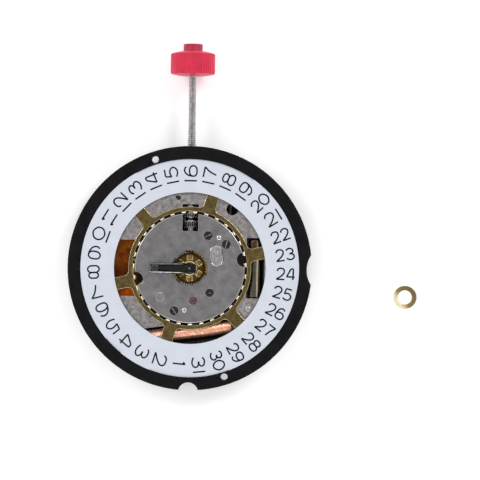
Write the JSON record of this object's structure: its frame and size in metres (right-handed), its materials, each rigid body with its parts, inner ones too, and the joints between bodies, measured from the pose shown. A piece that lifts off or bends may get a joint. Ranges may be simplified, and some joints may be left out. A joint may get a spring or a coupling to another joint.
{
  "type": "quartz watch movement",
  "caption": "Round quartz watch movement with centre seconds, a white date ring over brass arms, a long threaded stem with a red crown, and a loose dial washer.",
  "frame": {"origin": "on the axis of the hands, in the plane of the dial seat on the black ring", "axes": "+Z out of the dial side, along the hands' axis; +Y out along the stem to the crown; +X to the right seen from the dial side"},
  "size_m": [0.0368, 0.0364, 0.0055],
  "materials": {
    "black_plastic": "satin black moulding",
    "nickel_plate": "nickel-plated, fine mottled satin",
    "steel_cover": "lapped steel",
    "blackened_screw": "dark polished steel",
    "bright_steel": "polished",
    "spring_steel": "bright spring steel",
    "lever_steel": "satin steel",
    "ruby": "polished synthetic ruby",
    "brass_bush": "turned",
    "gold_brass": "gilt, satin",
    "wheel_brass": "satin",
    "arbor_steel": "turned and polished",
    "date_brass": "rolled brass sheet, bright edges",
    "date_white": "matt white lacquer",
    "driver_plastic": "brown moulding",
    "magnet": "sintered magnet",
    "soft_iron": "annealed iron sheet",
    "bobbin": "amber moulding",
    "copper": "enamelled copper winding",
    "battery_steel": "nickel-plated can",
    "gasket": "nylon",
    "amber_foil": "polyimide foil",
    "bright_screw": "polished",
    "board": "green laminate",
    "module_gilt": "gilt sheet",
    "crystal_can": "drawn metal can",
    "tinned_lead": "tinned wire",
    "epoxy": "black potting drop",
    "capacitor": "tan ceramic body",
    "bridge_nickel": "nickel-plated, straight grain",
    "stem_steel": "rolled thread",
    "red_plastic": "moulded, slightly glossy",
    "black_hand": "black lacquer"
  },
  "bodies": {
    "movement": {"casing_ring": "black_plastic", "coil_guard": "black_plastic", "keyless_shield": "black_plastic", "date_jumper": "black_plastic", "main_plate": "nickel_plate", "cover_plate": "steel_cover", "cover_screws": "blackened_screw", "cover_pins": "bright_steel", "setting_lever_pin": "bright_steel", "yoke_guides": "bright_steel", "wheel_spring": "spring_steel", "setting_lever_spring": "spring_steel", "battery_clamp": "spring_steel", "negative_contact": "spring_steel", "plate_jewels": "ruby", "bridge_jewels": "ruby", "centre_bush": "brass_bush", "stator": "soft_iron", "coil_core": "soft_iron", "coil_flanges": "bobbin", "coil_winding": "copper", "battery_can": "battery_steel", "battery_cap": "battery_steel", "battery_gasket": "gasket", "insulating_foil": "amber_foil", "clamp_screws": "bright_screw", "module_screws": "bright_screw", "bridge_screws": "bright_screw", "spring_screw": "bright_screw", "circuit_board": "board", "module_cover": "module_gilt", "quartz_crystal": "crystal_can", "crystal_leads": "tinned_lead", "circuit_chip": "epoxy", "trim_capacitor": "capacitor", "train_bridge": "bridge_nickel"},
    "seconds_arbor": {"seconds_wheel": "arbor_steel"},
    "centre_arbor": {"centre_wheel": "wheel_brass"},
    "third_arbor": {"third_wheel": "wheel_brass"},
    "intermediate_arbor": {"intermediate_wheel": "wheel_brass"},
    "rotor": {"rotor": "magnet"},
    "minute_arbor": {"cannon_pinion": "arbor_steel"},
    "hour_arbor": {"hour_wheel": "gold_brass"},
    "minute_wheel": {"minute_wheel": "wheel_brass"},
    "setting_wheel": {"setting_wheel": "wheel_brass"},
    "date_driver": {"date_driving_wheel": "wheel_brass", "date_finger": "driver_plastic"},
    "date_ring": {"date_wheel": "date_brass", "date_disc": "date_white"},
    "yoke": {"yoke": "lever_steel"},
    "sliding_pinion": {"sliding_pinion": "lever_steel"},
    "stem_and_crown": {"stem": "stem_steel", "crown": "red_plastic"},
    "setting_lever": {"setting_lever": "lever_steel"},
    "stop_lever": {"stop_lever": "lever_steel"},
    "check_hand": {"check_hand": "black_hand", "check_hand_rivet": "bright_steel"},
    "dial_washer": {"dial_washer": "gold_brass"}
  },
  "joints": [
    {"name": "seconds_turn", "type": "hinge", "parent": "movement", "child": "seconds_arbor", "pos_m": [0, 0, 0], "axis": [0, 0, -1], "continuous": true},
    {"name": "third_turn", "type": "hinge", "parent": "movement", "child": "third_arbor", "pos_m": [0.0027, 0.00075, 0], "axis": [0, 0, -1], "continuous": true},
    {"name": "centre_turn", "type": "hinge", "parent": "movement", "child": "centre_arbor", "pos_m": [0, 0, 0], "axis": [0, 0, -1], "continuous": true},
    {"name": "intermediate_turn", "type": "hinge", "parent": "movement", "child": "intermediate_arbor", "pos_m": [0.00212, -0.00254, 0], "axis": [0, 0, -1], "continuous": true},
    {"name": "rotor_turn", "type": "hinge", "parent": "movement", "child": "rotor", "pos_m": [0.0004, -0.00339, 0], "axis": [0, 0, -1], "continuous": true},
    {"name": "minute_turn", "type": "hinge", "parent": "movement", "child": "minute_arbor", "pos_m": [0, 0, 0], "axis": [0, 0, -1], "continuous": true},
    {"name": "minute_wheel_turn", "type": "hinge", "parent": "movement", "child": "minute_wheel", "pos_m": [0.00184, 0.00106, 0], "axis": [0, 0, -1], "continuous": true},
    {"name": "hour_turn", "type": "hinge", "parent": "movement", "child": "hour_arbor", "pos_m": [0, 0, 0], "axis": [0, 0, -1], "continuous": true},
    {"name": "setting_wheel_turn", "type": "hinge", "parent": "movement", "child": "setting_wheel", "pos_m": [0, 0.00272, 0], "axis": [0, 0, -1], "continuous": true},
    {"name": "date_driver_turn", "type": "hinge", "parent": "movement", "child": "date_driver", "pos_m": [-0.00376, -0.00082, 0], "axis": [0, 0, -1], "continuous": true},
    {"name": "date_ring_turn", "type": "hinge", "parent": "movement", "child": "date_ring", "pos_m": [0, 0, 0], "axis": [0, 0, -1], "continuous": true},
    {"name": "yoke_shift", "type": "slide", "parent": "movement", "child": "yoke", "axis": [0, -1, 0], "range_m": [0, 0.0005]},
    {"name": "crown_turn", "type": "hinge", "parent": "yoke", "child": "sliding_pinion", "pos_m": [0, 0.005, -0.00125], "axis": [0, 1, 0], "continuous": true},
    {"name": "crown_pull", "type": "slide", "parent": "sliding_pinion", "child": "stem_and_crown", "axis": [0, 1, 0], "range_m": [0, 0.0012]},
    {"name": "setting_lever_swing", "type": "hinge", "parent": "movement", "child": "setting_lever", "pos_m": [0.00169, 0.00706, -0.0013], "axis": [0, 0, -1], "range_deg": [0, 29.6]},
    {"name": "stop_lever_swing", "type": "hinge", "parent": "movement", "child": "stop_lever", "pos_m": [-0.0032, 0.0042, -0.0018], "axis": [0, 0, 1], "range_deg": [0, 6]},
    {"name": "check_hand_lift", "type": "slide", "parent": "seconds_arbor", "child": "check_hand", "axis": [0, 0, 1], "range_m": [0, 0.006]},
    {"name": "dial_washer_lift", "type": "slide", "parent": "movement", "child": "dial_washer", "axis": [0, 0, 1], "range_m": [0, 0.005]}
  ],
  "couplings": [
    {"joint": "third_turn", "follows": "seconds_turn", "ratio": -0.13333},
    {"joint": "centre_turn", "follows": "seconds_turn", "ratio": 0.016667},
    {"joint": "intermediate_turn", "follows": "seconds_turn", "ratio": -3},
    {"joint": "rotor_turn", "follows": "seconds_turn", "ratio": 30},
    {"joint": "minute_wheel_turn", "follows": "minute_turn", "ratio": -0.33333},
    {"joint": "hour_turn", "follows": "minute_turn", "ratio": 0.083333},
    {"joint": "setting_wheel_turn", "follows": "minute_turn", "ratio": 0.6},
    {"joint": "date_driver_turn", "follows": "minute_turn", "ratio": -0.041667},
    {"joint": "yoke_shift", "follows": "crown_pull", "ratio": 0.41667},
    {"joint": "setting_lever_swing", "follows": "crown_pull", "rad_per_m": 430.56},
    {"joint": "stop_lever_swing", "follows": "crown_pull", "rad_per_m": 87.266}
  ]
}
